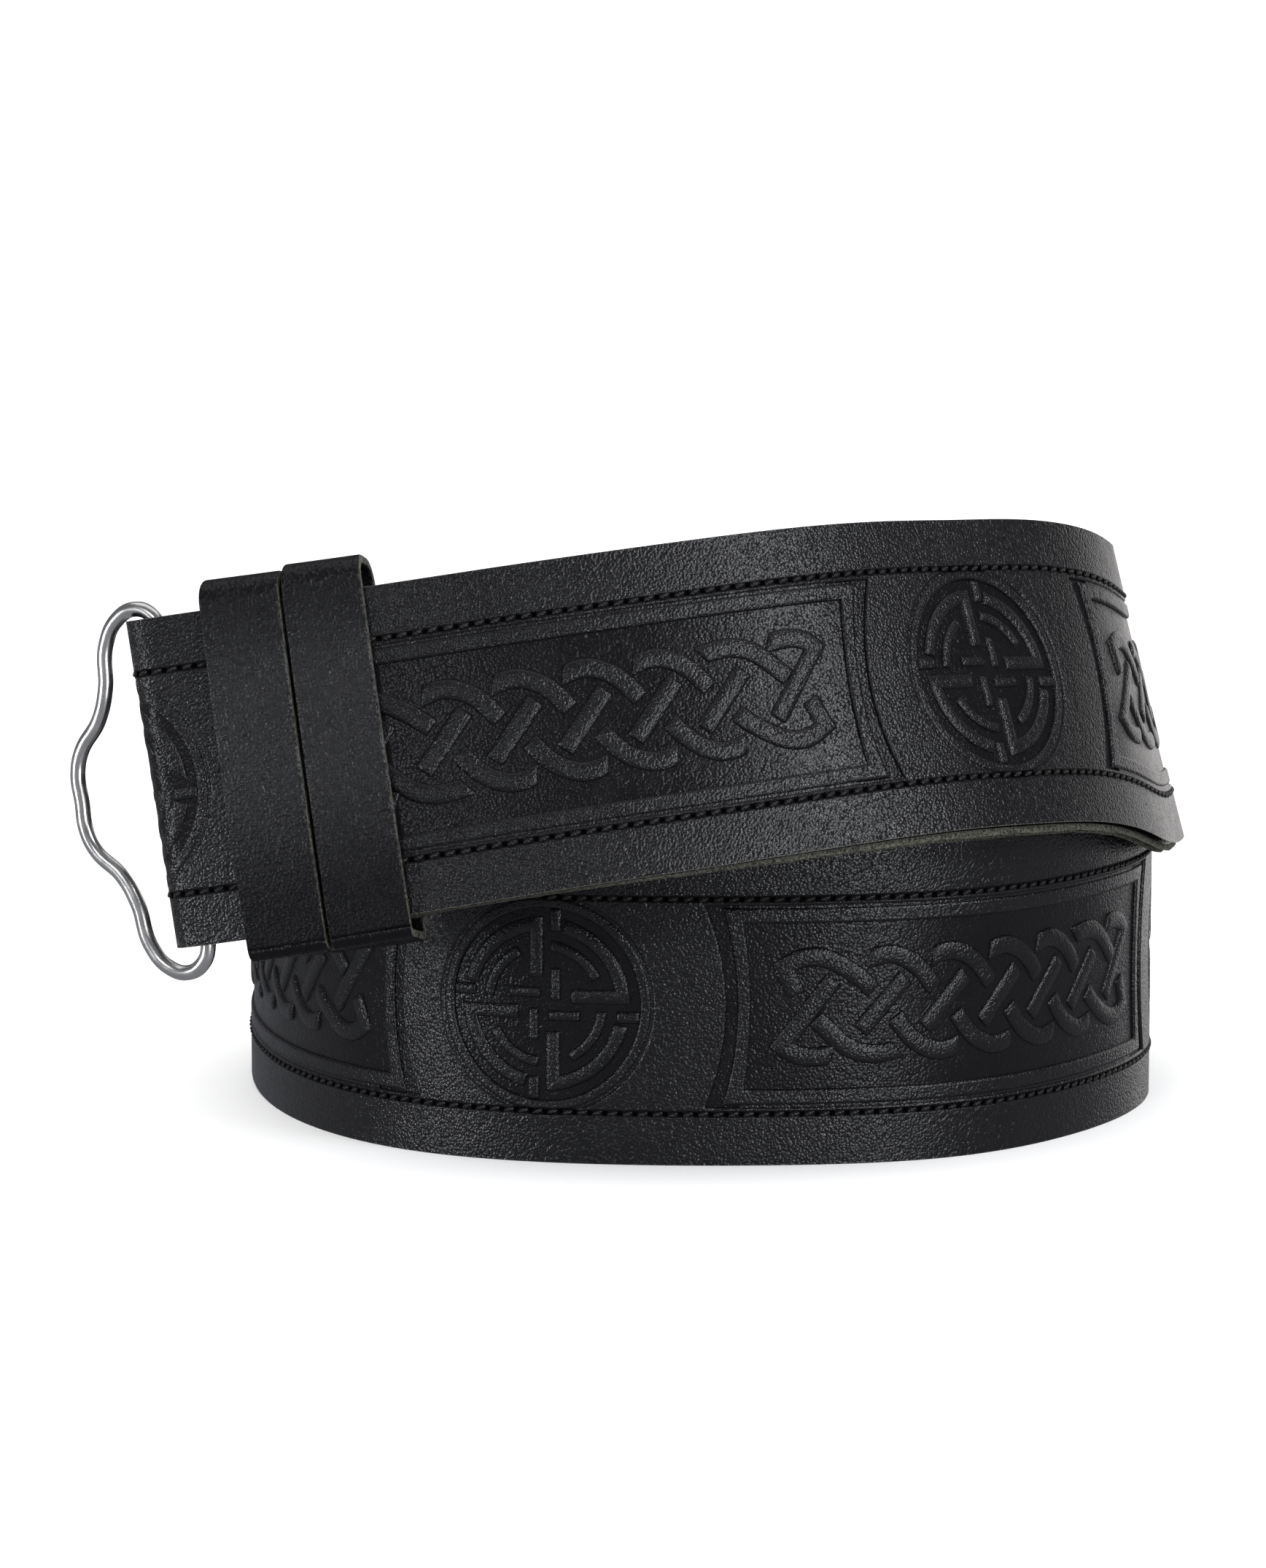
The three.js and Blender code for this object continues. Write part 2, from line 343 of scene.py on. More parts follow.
def only(piece):
    bpy.ops.object.select_all(action="DESELECT")
    piece.select_set(True)
    bpy.context.view_layer.objects.active = piece


def join(pieces):
    bpy.ops.object.select_all(action="DESELECT")
    for piece in pieces:
        piece.select_set(True)
    bpy.context.view_layer.objects.active = pieces[0]
    bpy.ops.object.join()
    return pieces[0]


def flat_plate(name, outlines, top, bottom, rim=0):
    """A plate laid out flat, filled between its outlines, with rounded rims."""
    curve = bpy.data.curves.new(name, "CURVE")
    curve.dimensions = "2D"
    curve.fill_mode = "BOTH"
    curve.extrude = (top - bottom) / 2 - rim
    curve.bevel_depth = rim
    curve.bevel_resolution = 2
    curve.offset = -rim
    for outline in outlines:
        spline = curve.splines.new("POLY")
        spline.points.add(len(outline) - 1)
        for point, (way, side) in zip(spline.points, outline):
            point.co = (way, side, 0, 1)
        spline.use_cyclic_u = True
    plate = bpy.data.objects.new(name, curve)
    bpy.context.collection.objects.link(plate)
    only(plate)
    bpy.ops.object.convert(target="MESH")
    bpy.ops.transform.translate(value=(0, 0, (top + bottom) / 2))
    bpy.ops.object.transform_apply(location=True, rotation=False, scale=False)
    return plate


def rectangle(low, high, half_width):
    return [(low, -half_width), (high, -half_width), (high, half_width), (low, half_width)]


def cut_across(piece, ways):
    """Cuts a flat piece across at each way, so that it can follow a bend."""
    only(piece)
    places = vertex_places(piece)
    for polygon in piece.data.polygons:
        reach = places[list(polygon.vertices), 0]
        polygon.select = bool(reach.max() > min(ways) and reach.min() < max(ways))
    bpy.ops.object.mode_set(mode="EDIT")
    bpy.ops.mesh.select_mode(type="FACE")
    bpy.ops.mesh.hide(unselected=True)
    for way in ways:
        bpy.ops.mesh.select_all(action="SELECT")
        bpy.ops.mesh.bisect(plane_co=(way, 0, 0), plane_no=(1, 0, 0))
    bpy.ops.mesh.reveal()
    bpy.ops.object.mode_set(mode="OBJECT")


def trim(piece, place, outward, close):
    """Cuts away what lies beyond a plane through place, whose normal points outward."""
    only(piece)
    bpy.ops.object.mode_set(mode="EDIT")
    bpy.ops.mesh.select_all(action="SELECT")
    bpy.ops.mesh.bisect(plane_co=place, plane_no=outward, clear_outer=True, use_fill=close)
    bpy.ops.object.mode_set(mode="OBJECT")


def soften_edges(piece, half_width):
    """Rounds the long cut edges of a flat piece a little."""
    only(piece)
    places = vertex_places(piece)
    at_side = abs(abs(places[:, 1]) - half_width) < WELD_DISTANCE
    for edge in piece.data.edges:
        a, b = edge.vertices
        along = abs(places[a, 0] - places[b, 0]) > abs(places[a, 2] - places[b, 2])
        edge.select = bool(at_side[a] and at_side[b] and along)
    bpy.ops.object.mode_set(mode="EDIT")
    bpy.ops.mesh.select_mode(type="EDGE")
    bpy.ops.mesh.bevel(offset=EDGE_ROUNDING, segments=2)
    bpy.ops.object.mode_set(mode="OBJECT")


def repeat_along(piece, count):
    """Copies of a flat piece, one pattern repeat apart."""
    only(piece)
    bpy.ops.object.modifier_add(type="ARRAY")
    copies = piece.modifiers[-1]
    copies.count = count
    copies.use_relative_offset = False
    copies.use_constant_offset = True
    copies.constant_offset_displace = (PATTERN_REPEAT, 0, 0)
    copies.use_merge_vertices = True
    copies.merge_threshold = WELD_DISTANCE
    bpy.ops.object.modifier_apply(modifier=copies.name)


def fold_ways():
    """Where the flat strap is cut across to go round the fold."""
    return np.arange(BAR_AT - FOLD_LENGTH, BAR_AT + MM, FOLD_STEP)


def vertex_places(piece):
    places = np.zeros(len(piece.data.vertices) * 3, np.float32)
    piece.data.vertices.foreach_get("co", places)
    return places.reshape(-1, 3).astype(float)


def set_places(piece, places):
    piece.data.vertices.foreach_set("co", places.astype(np.float32).ravel())
    piece.data.update()


def keep_flat_places(piece, places):
    """Stores the flat layout in the attribute that the leather's pattern reads."""
    layout = piece.data.attributes.new("layout", "FLOAT_VECTOR", "POINT")
    layout.data.foreach_set("vector", places.astype(np.float32).ravel())


def roll_up(piece):
    """Bends a flat piece round the fold and the coil."""
    places = vertex_places(piece)
    keep_flat_places(piece, places)
    way, side, height = places.T
    kept = RELIEF_AT_FOLD + (1 - RELIEF_AT_FOLD) * smoothstep(way, *RELIEF_GROWS)
    height = np.where(height > -FACE_THICKNESS / 2, height * kept, height)
    set_places(piece, unrolled_points(way, side, height))


def finish_surface(piece):
    """Smooth shading in which large faces stay flat up to their rounded rims."""
    only(piece)
    bpy.ops.object.shade_smooth_by_angle(angle=math.radians(SMOOTH_ANGLE))
    bpy.ops.object.modifier_add(type="WEIGHTED_NORMAL")
    weighted = piece.modifiers[-1]
    weighted.keep_sharp = True
    weighted.weight = 100
    bpy.ops.object.modifier_apply(modifier=weighted.name)


# Pattern outlines


def circle(middle, radius, count=RING_POINTS):
    turns = np.linspace(0, 2 * math.pi, count, endpoint=False)
    return [(middle + radius * math.cos(turn), radius * math.sin(turn)) for turn in turns]


def concave_panel(start, half_height, end, drop):
    """A panel between the medallions at start and one repeat on, hollow at both ends."""
    sides = np.linspace(-half_height, half_height, 19)
    left = [(start + end - drop * (side / half_height) ** 2, side) for side in sides]
    right = [(2 * start + PATTERN_REPEAT - way, side) for way, side in left]
    return left[::-1] + right


def medallion_ways():
    """The middles of all medallions, with one to spare at either end of the strap."""
    first = math.ceil((FLAP_START - FIRST_MEDALLION) / PATTERN_REPEAT) - 1
    last = math.floor((STRAP_LENGTH - FIRST_MEDALLION) / PATTERN_REPEAT) + 1
    return [FIRST_MEDALLION + k * PATTERN_REPEAT for k in range(first, last + 1)]


def pocket_outlines():
    """Edges of all that is pressed in, in the panel and the medallion after way 0: the floors,
    and the lines round the ring and the frame."""
    cell = FRAME_HALF_HEIGHT + LINE_WIDTH
    return [
        concave_panel(PANEL_SHIFT, cell, CELL_END, CELL_END_DROP),
        concave_panel(PANEL_SHIFT, FRAME_HALF_HEIGHT, FRAME_END, FRAME_END_DROP),
        concave_panel(PANEL_SHIFT, PANEL_HALF_HEIGHT, PANEL_END, PANEL_END_DROP),
        circle(PATTERN_REPEAT, RING_INNER),
        circle(PATTERN_REPEAT, RING_OUTER),
        circle(PATTERN_REPEAT, RING_OUTER + LINE_WIDTH),
    ]


def along_curve(points):
    """Close points on a smooth curve through a few."""
    knots = [Vector((*point, 0)) for point in points]
    before = 2 * knots[0] - knots[1]
    after = 2 * knots[-1] - knots[-2]
    knots = [before, *knots, after]
    line = []
    for a, b, c, d in zip(knots, knots[1:], knots[2:], knots[3:]):
        count = max(1, round((c - b).length / CURVE_STEP))
        for i in range(count):
            u = i / count
            point = 0.5 * (
                2 * b
                + (c - a) * u
                + (2 * a - 5 * b + 4 * c - d) * u**2
                + (3 * b - a - 3 * c + d) * u**3
            )
            line.append((point.x, point.y))
    line.append(tuple(points[-1]))
    return line


def in_mm(points):
    return [(way * MM, side * MM) for way, side in points]


def moved(line, way):
    return [(x + way, y) for x, y in line]


def turned(line, quarters):
    for _ in range(quarters):
        line = [(-y, x) for x, y in line]
    return line


# A raised band: its middle line, its width, and how far each end is cut aslant.
Band = namedtuple("Band", "line width slant_start slant_end")

# Middle lines of the knot's strands in millimetres: the plain ones from their crossing, and
# those at the panel's left end from the first crossing.
PLAIN_BAR = [(-4.3, -4.7), (4.3, 4.7)]
PLAIN_ARCH = [
    (-2.8, 8.1), (-0.9, 8.7), (1.6, 8.9), (3.9, 8.2), (6.1, 6.9), (8.1, 4.9), (10.1, 2.2)
]
TURNED_ARCH_LEG = (-3.6, 1.9)
TURNED_ARCH = [
    (-5.8, 6.9), (-3.1, 8.4), (-0.2, 8.8), (2.6, 8.1), (5.4, 6.6), (8.2, 4.6), (10.5, 2.5)
]
TURNED_BAR_TOP = (3.1, 4.7)
TURNED_BAR_FOOT = [(-6.1, -7.0), (-4.3, -8.4), (-1.9, -9.1), (0.5, -9.1), (3.0, -8.8)]
LONG_BOWL = [
    (-0.2, -2.2), (1.9, -4.2), (4.3, -6.5), (6.6, -8.0), (9.3, -8.8), (11.9, -8.8), (15.2, -8.3)
]
SLANT = 0.9 * MM


def knot_strands():
    """One panel's strands, from the middle of the panel."""
    half = (KNOT_CROSSINGS + 1) / 2
    first = (1 - half) * KNOT_PITCH
    bars = [
        Band(moved(in_mm(PLAIN_BAR), (crossing - half) * KNOT_PITCH), STRAND_WIDTH, 0, 0)
        for crossing in range(2, KNOT_CROSSINGS)
    ]
    arch = along_curve(in_mm(PLAIN_ARCH))
    arches = [
        Band(moved(arch, (crossing - half) * KNOT_PITCH), STRAND_WIDTH, SLANT, 0)
        for crossing in range(2, KNOT_CROSSINGS - 1)
    ]
    turned_arch = in_mm([TURNED_ARCH_LEG]) + along_curve(in_mm(TURNED_ARCH))
    turned_bar = in_mm([TURNED_BAR_TOP]) + along_curve(in_mm(TURNED_BAR_FOOT))
    left_end = [
        Band(moved(turned_arch, first), STRAND_WIDTH, 0, 0),
        Band(moved(turned_bar, first), STRAND_WIDTH, 0, SLANT),
        Band(moved(along_curve(in_mm(LONG_BOWL)), first), STRAND_WIDTH, 0, -SLANT),
    ]
    half_turned = [band._replace(line=turned(band.line, 2)) for band in [*arches, *left_end]]
    return [*bars, *arches, *left_end, *half_turned]


def arc(radius, start, end, count):
    """Points round a middle at 0, from start to end in degrees."""
    angles = np.radians(np.linspace(start, end, count))
    return [(radius * math.cos(angle), radius * math.sin(angle)) for angle in angles]


# A medallion's bars in one quarter: their points in millimetres from its middle, the arcs' radii,
# and their widths. The outer arc is hooked in towards the middle at its start.
HOOK_START = (-4.8, -1.5)
OUTER_ARC_RADIUS = 14.3 * MM
OUTER_ARC_WIDTH = 2.7 * MM
INNER_ARC_RADIUS = 10.5 * MM
INNER_ARC_WIDTH = 2 * MM
INNER_BAR = [(-2.05, -6.5), (-2.05, -0.7)]
INNER_BAR_WIDTH = 1.9 * MM
RIM_BAR = [(-2.1, -17.2), (-2.1, -13)]
RIM_BAR_WIDTH = 2.2 * MM


def medallion_bars():
    """One medallion's bars: four of a kind, a quarter turn apart."""
    hooked_arc = in_mm([HOOK_START]) + arc(OUTER_ARC_RADIUS, start=186, end=256, count=22)
    inner_arc = arc(INNER_ARC_RADIUS, start=206, end=264, count=14)
    quarter = [
        Band(hooked_arc, OUTER_ARC_WIDTH, 0, 0),
        Band(inner_arc, INNER_ARC_WIDTH, 0, 0),
        Band(in_mm(INNER_BAR), INNER_BAR_WIDTH, 0, 0),
        Band(in_mm(RIM_BAR), RIM_BAR_WIDTH, 0, 0),
    ]
    return [
        band._replace(line=turned(band.line, quarters)) for quarters in range(4) for band in quarter
    ]


# Strap pieces


# Across a band: places from its right edge to its left as shares of its half width. Along it:
# places near its ends as shares of its shoulder, which is a share of its width.
BAND_PLACES = np.array([-1, -0.88, -0.62, -0.25, 0.25, 0.62, 0.88, 1])
END_STEPS = np.array([0, 0.1, 0.35, 1])
SHOULDER = 0.32
FLAT_TOP_FROM = 0.85
END_NARROWING = 0.1
SHARPEST_MITRE = 0.4


def rounding(share):
    """Height of a soft shoulder, from 0 at its foot to 1 on top, as share goes 0 to 1."""
    return np.sqrt(1 - (1 - np.clip(share, 0, 1)) ** 2)


def band_shape(band):
    """Rings of points across a band, from its first end to its last. It stands on the pressed
    floor, and its top is as high as the face."""
    points = np.array(band.line, float)
    shoulder = SHOULDER * band.width
    lengths = np.concatenate([[0], np.cumsum(np.linalg.norm(np.diff(points, axis=0), axis=1))])
    total = lengths[-1]
    ends = END_STEPS * shoulder
    clear = 1.2 * shoulder
    inner = [length for length in lengths if clear < length < total - clear]
    stations = np.array([*ends, *inner, *(total - ends[::-1])])
    middle = np.stack([np.interp(stations, lengths, points[:, k]) for k in range(2)], axis=1)
    ahead = unit(np.diff(points, axis=0))
    part = np.clip(np.searchsorted(lengths, stations, side="right") - 1, 0, len(ahead) - 1)
    after = ahead[part]
    at_knot = np.isclose(stations, lengths[part]) & (part > 0)
    before = np.where(at_knot[:, None], ahead[np.maximum(part - 1, 0)], after)
    mitre = unit(before + after)
    stretch = 1 / np.maximum(SHARPEST_MITRE, (mitre * before).sum(1))
    left = np.stack([-mitre[:, 1], mitre[:, 0]], axis=1) * stretch[:, None]
    from_end = np.minimum(stations, total - stations)
    corner = 1 - END_NARROWING * (1 - np.clip(from_end / shoulder, 0, 1)) ** 3
    lift = rounding(from_end / shoulder)
    near_start = np.clip(1 - stations / band.width, 0, 1)
    near_end = np.clip(1 - (total - stations) / band.width, 0, 1)
    skew = band.slant_start * near_start + band.slant_end * near_end
    rings = []
    for k, (place, side) in enumerate(zip(middle, left)):
        across = [
            place + side * share * band.width / 2 * corner[k] + after[k] * share * skew[k]
            for share in BAND_PLACES
        ]
        heights = RELIEF * (lift[k] * rounding((1 - abs(BAND_PLACES)) / FLAT_TOP_FROM) - 1)
        ring = [(*point, height) for point, height in zip(across, heights)]
        foot = -RELIEF - BAND_FOOT
        rings.append([*ring, (*across[-1], foot), (*across[0], foot)])
    return np.array(rings)


def raised_bands(name, bands):
    """All bands of a pattern as one piece, each a closed shape."""
    points = []
    faces = []
    for band in bands:
        rings = band_shape(band)
        count = rings.shape[1]
        start = len(points)
        points.extend(rings.reshape(-1, 3))
        for i in range(len(rings) - 1):
            for j in range(count):
                k = (j + 1) % count
                low = start + i * count
                high = low + count
                faces.append((low + j, high + j, high + k, low + k))
        last = start + (len(rings) - 1) * count
        faces.append(tuple(start + j for j in range(count)))
        faces.append(tuple(last + j for j in reversed(range(count))))
    mesh = bpy.data.meshes.new(name)
    mesh.from_pydata([tuple(point) for point in points], [], faces)
    piece = bpy.data.objects.new(name, mesh)
    bpy.context.collection.objects.link(piece)
    return piece


def on_strap(bands):
    """The bands that lie on the strap from end to end."""
    low, high = FLAP_START + END_MARGIN, STRAP_LENGTH - END_MARGIN
    return [band for band in bands if all(low < way < high for way, side in band.line)]


def line_floors():
    """Raised floors that make the lines round the ring and along the frame shallow."""
    outlines = [
        circle(PATTERN_REPEAT, RING_OUTER - OVERLAP, count=48),
        circle(PATTERN_REPEAT, RING_OUTER + LINE_WIDTH + OVERLAP, count=48),
    ]
    low = CELL_END + 4 * OVERLAP
    high = PATTERN_REPEAT - low
    inner = FRAME_HALF_HEIGHT - OVERLAP
    outer = FRAME_HALF_HEIGHT + LINE_WIDTH + OVERLAP
    for side in (-1, 1):
        corners = [(low, inner), (high, inner), (high, outer), (low, outer)]
        outlines.append([(way, side * across) for way, across in corners])
    return flat_plate("line_floors", outlines, -LINE_DEPTH, -RELIEF - BAND_FOOT)


def flat_layer(pieces):
    """One pattern repeat of a strap layer, repeated and trimmed to the strap."""
    tile = join(pieces)
    for side in (-1, 1):
        trim(tile, (0, side * STRAP_WIDTH / 2, 0), (0, side, 0), close=True)
    soften_edges(tile, STRAP_WIDTH / 2)
    steps = math.ceil(PATTERN_REPEAT / COIL_STEP)
    cut_across(tile, [TILE_START + PATTERN_REPEAT * k / steps for k in range(1, steps)])
    trim(tile, (TILE_START, 0, 0), (-1, 0, 0), close=False)
    trim(tile, (TILE_START + PATTERN_REPEAT, 0, 0), (1, 0, 0), close=False)
    first, last = medallion_ways()[0], medallion_ways()[-1]
    places = vertex_places(tile)
    places[:, 0] += first
    set_places(tile, places)
    repeat_along(tile, round((last - first) / PATTERN_REPEAT) + 1)
    trim(tile, (FLAP_START, 0, 0), (-1, 0, 0), close=True)
    trim(tile, (STRAP_LENGTH, 0, 0), (1, 0, 0), close=True)
    cut_across(tile, fold_ways())
    return tile


def blank(half_width, longer=0):
    """The outline of a plate for one pattern repeat, with some to spare at its ends."""
    low = TILE_START - END_SPARE - longer
    high = TILE_START + PATTERN_REPEAT + END_SPARE + longer
    return rectangle(low, high, half_width)


def strap_face():
    """The embossed layer: a plate with the pattern's pockets cut out, over the pressed floors."""
    outlines = [blank(STRAP_WIDTH / 2 + SIDE_SPARE), *pocket_outlines()]
    plate = flat_plate("strap_face", outlines, 0, -FACE_THICKNESS, RIM)
    half_floor = (FRAME_HALF_HEIGHT + STRAP_WIDTH / 2) / 2
    floor_outline = blank(half_floor, longer=OVERLAP)
    floor = flat_plate("floor", [floor_outline], -RELIEF, -FACE_THICKNESS + RIM)
    face = flat_layer([plate, floor, line_floors()])
    roll_up(face)
    finish_surface(face)
    return face


def knot_relief():
    """The raised strands of every panel and bars of every medallion."""
    strands = []
    bars = []
    for way in medallion_ways():
        centre = way + PATTERN_REPEAT / 2 + PANEL_SHIFT
        strands += [band._replace(line=moved(band.line, centre)) for band in knot_strands()]
        bars += [band._replace(line=moved(band.line, way)) for band in medallion_bars()]
    relief = raised_bands("knot_relief", on_strap([*strands, *bars]))
    roll_up(relief)
    finish_surface(relief)
    return relief


def strap_backing():
    """The layer behind. Below the face's lower edge it shows as a raw strip on the upper turn."""
    outline = blank(STRAP_WIDTH / 2 + SIDE_SPARE)
    top = -FACE_THICKNESS - LAYER_GAP
    backing = flat_plate("strap_backing", [outline], top, -STRAP_THICKNESS)
    backing = flat_layer([backing])
    places = vertex_places(backing)
    way, side = places[:, 0], places[:, 1]
    seen = smoothstep(way, *OVERHANG_GROWS) * (1 - smoothstep(way, *OVERHANG_FADES))
    fine, coarse = OVERHANG_WAVES
    uneven = 1 + OVERHANG_UNEVEN * np.sin(way / fine) * np.sin(way / coarse)
    at_foot = side < EDGE_ROUNDING * 1.5 - STRAP_WIDTH / 2
    places[:, 1] -= FOOT_OVERHANG * seen * uneven * at_foot
    set_places(backing, places)
    roll_up(backing)
    finish_surface(backing)
    return backing


def stitches():
    """Slanted stitches along both edges, through the face and the backing."""
    bpy.ops.object.select_all(action="DESELECT")
    bpy.ops.mesh.primitive_uv_sphere_add(segments=8, ring_count=6, radius=0.5)
    thread = bpy.context.object
    bpy.ops.transform.resize(value=(STITCH_LENGTH, THREAD_WIDTH, THREAD_WIDTH))
    bpy.ops.object.transform_apply(location=False, rotation=False, scale=True)
    shape = vertex_places(thread)
    faces = [tuple(face.vertices) for face in thread.data.polygons]
    bpy.data.objects.remove(thread)
    x, y, z = shape.T
    chance = np.random.default_rng(4)
    places = []
    count = int((STRAP_LENGTH - FLAP_START - UNSTITCHED) / STITCH_PITCH)
    for surface, out in ((0, 1), (-STRAP_THICKNESS, -1)):
        for side in (-STITCH_SIDE, STITCH_SIDE):
            for k in range(count):
                slant = math.radians(STITCH_SLANT + chance.normal(0, SLANT_SCATTER)) * out
                way = FLAP_START + FIRST_STITCH + k * STITCH_PITCH
                way = way + x * math.cos(slant) - y * math.sin(slant)
                across = side + x * math.sin(slant) + y * math.cos(slant)
                across = across + chance.normal(0, SIDE_SCATTER)
                height = surface + out * (z - THREAD_SUNK)
                places.append(np.stack([way, across, height], axis=1))
    points = np.concatenate(places)
    all_faces = [
        tuple(corner + copy * len(shape) for corner in face)
        for copy in range(len(places))
        for face in faces
    ]
    mesh = bpy.data.meshes.new("stitches")
    mesh.from_pydata([tuple(point) for point in points], [], all_faces)
    piece = bpy.data.objects.new("stitches", mesh)
    bpy.context.collection.objects.link(piece)
    keep_flat_places(piece, points)
    way, side, height = points.T
    set_places(piece, unrolled_points(way, side, height))
    only(piece)
    bpy.ops.object.shade_smooth()
    return piece


# Keepers


# One straight run of a keeper and the bend after it. low, high and bend count along its strip: the
# run's two ends and the bend's end. begin, end and middle are places across the strap, as height
# and side: the run's ends and the middle that it bends round. turn is the way that the run faces.
KeeperRun = namedtuple("KeeperRun", "low high bend begin end middle radius turn")


def keeper_runs(number, start):
    """The four runs of a keeper's inner face, from the foot up its front."""
    front = FIT_GAP
    back = -flap_depth(start) - FIT_GAP
    top = STRAP_WIDTH / 2 + KEEPER_ROOM_ABOVE + number * SECOND_KEEPER_RISE
    foot = -STRAP_WIDTH / 2 - KEEPER_ROOM_BELOW
    above, below = KEEPER_CORNER_RADIUS, KEEPER_FOOT_RADIUS
    bends = [
        ((front - above, top - above), above),
        ((back + above, top - above), above),
        ((back + below, foot + below), below),
        ((front - below, foot + below), below),
    ]
    runs = []
    low = 0
    for quarter, (middle, radius) in enumerate(bends):
        last_middle, last_radius = bends[quarter - 1]
        turn = math.radians(90 * quarter)
        out = np.array([math.cos(turn), math.sin(turn)])
        begin = np.array(last_middle) + last_radius * out
        end = np.array(middle) + radius * out
        high = low + math.dist(begin, end)
        bend = high + radius * math.pi / 2
        runs.append(KeeperRun(low, high, bend, begin, end, middle, radius, turn))
        low = bend
    return runs


def wrapped(runs, way, lift):
    """Height and side of a keeper's points: way along its strip, lift off its inner face."""
    height = np.zeros(len(way))
    side = np.zeros(len(way))
    for run in runs:
        share = (way - run.low) / (run.high - run.low)
        bow = KEEPER_BOW * 4 * share * (1 - share) if run is runs[0] else 0
        straight = (way >= run.low) & (way <= run.high)
        along_run = [
            run.begin[axis] + (run.end[axis] - run.begin[axis]) * share for axis in range(2)
        ]
        height = np.where(straight, along_run[0] + (lift + bow) * math.cos(run.turn), height)
        side = np.where(straight, along_run[1] + (lift + bow) * math.sin(run.turn), side)
        bent = (way > run.high) & (way <= run.bend)
        angle = run.turn + (way - run.high) / run.radius
        height = np.where(bent, run.middle[0] + (run.radius + lift) * np.cos(angle), height)
        side = np.where(bent, run.middle[1] + (run.radius + lift) * np.sin(angle), side)
    return height, side


def keeper(number):
    """A flat strip of leather, rounded along its edges and closed round the strap."""
    start = BAR_AT + KEEPER_START + number * (KEEPER_WIDTH + KEEPER_SPACING)
    runs = keeper_runs(number, start)
    length = runs[-1].bend
    outline = [(0, 0), (length, 0), (length, KEEPER_WIDTH), (0, KEEPER_WIDTH)]
    strip = flat_plate(f"keeper_{number + 1}", [outline], KEEPER_THICKNESS, 0, KEEPER_RIM)
    cuts = set()
    for run in runs:
        cuts.update(np.round(np.linspace(run.low, run.high, RUN_CUTS), 7))
        cuts.update(np.round(np.linspace(run.high, run.bend, BEND_CUTS), 7))
    cut_across(strip, sorted(cuts)[1:-1])
    way, across, lift = vertex_places(strip).T
    keep_flat_places(strip, np.stack([way, across, lift - KEEPER_THICKNESS], axis=1))
    height, side = wrapped(runs, np.clip(way, 0, length), lift)
    set_places(strip, strap_points(start + across, height, side))
    only(strip)
    bpy.ops.object.mode_set(mode="EDIT")
    bpy.ops.mesh.select_all(action="SELECT")
    bpy.ops.mesh.remove_doubles(threshold=WELD_DISTANCE)
    bpy.ops.object.mode_set(mode="OBJECT")
    finish_surface(strip)
    return strip


# Wire loop


def buckle_loop():
    """Round wire along the loop's outline and its mirror image below the middle."""
    upper = LOOP_OUTLINE[1:-1]
    lower = [LoopPoint(point.away, -point.up) for point in reversed(upper)]
    outline = [LOOP_OUTLINE[0], *upper, LOOP_OUTLINE[-1], *lower]
    middle = strap_points(BAR_AT, -FOLD_RADIUS, 0)
    along = at_length("along", BAR_AT)
    across = at_length("across", BAR_AT)
    curve = bpy.data.curves.new("buckle_loop", "CURVE")
    curve.dimensions = "3D"
    curve.bevel_depth = WIRE_DIAMETER / 2
    curve.bevel_resolution = 6
    curve.resolution_u = 14
    spline = curve.splines.new("BEZIER")
    spline.bezier_points.add(len(outline) - 1)
    spline.use_cyclic_u = True
    for knot, point in zip(spline.bezier_points, outline):
        up = point.up * STRAP_WIDTH - LOOP_DROP
        knot.co = middle - along * point.away * LOOP_REACH + across * up
        knot.handle_left_type = "AUTO"
        knot.handle_right_type = "AUTO"
    loop = bpy.data.objects.new("buckle_loop", curve)
    bpy.context.collection.objects.link(loop)
    only(loop)
    bpy.ops.object.convert(target="MESH")
    bpy.ops.object.shade_smooth()
    return loop


# Materials


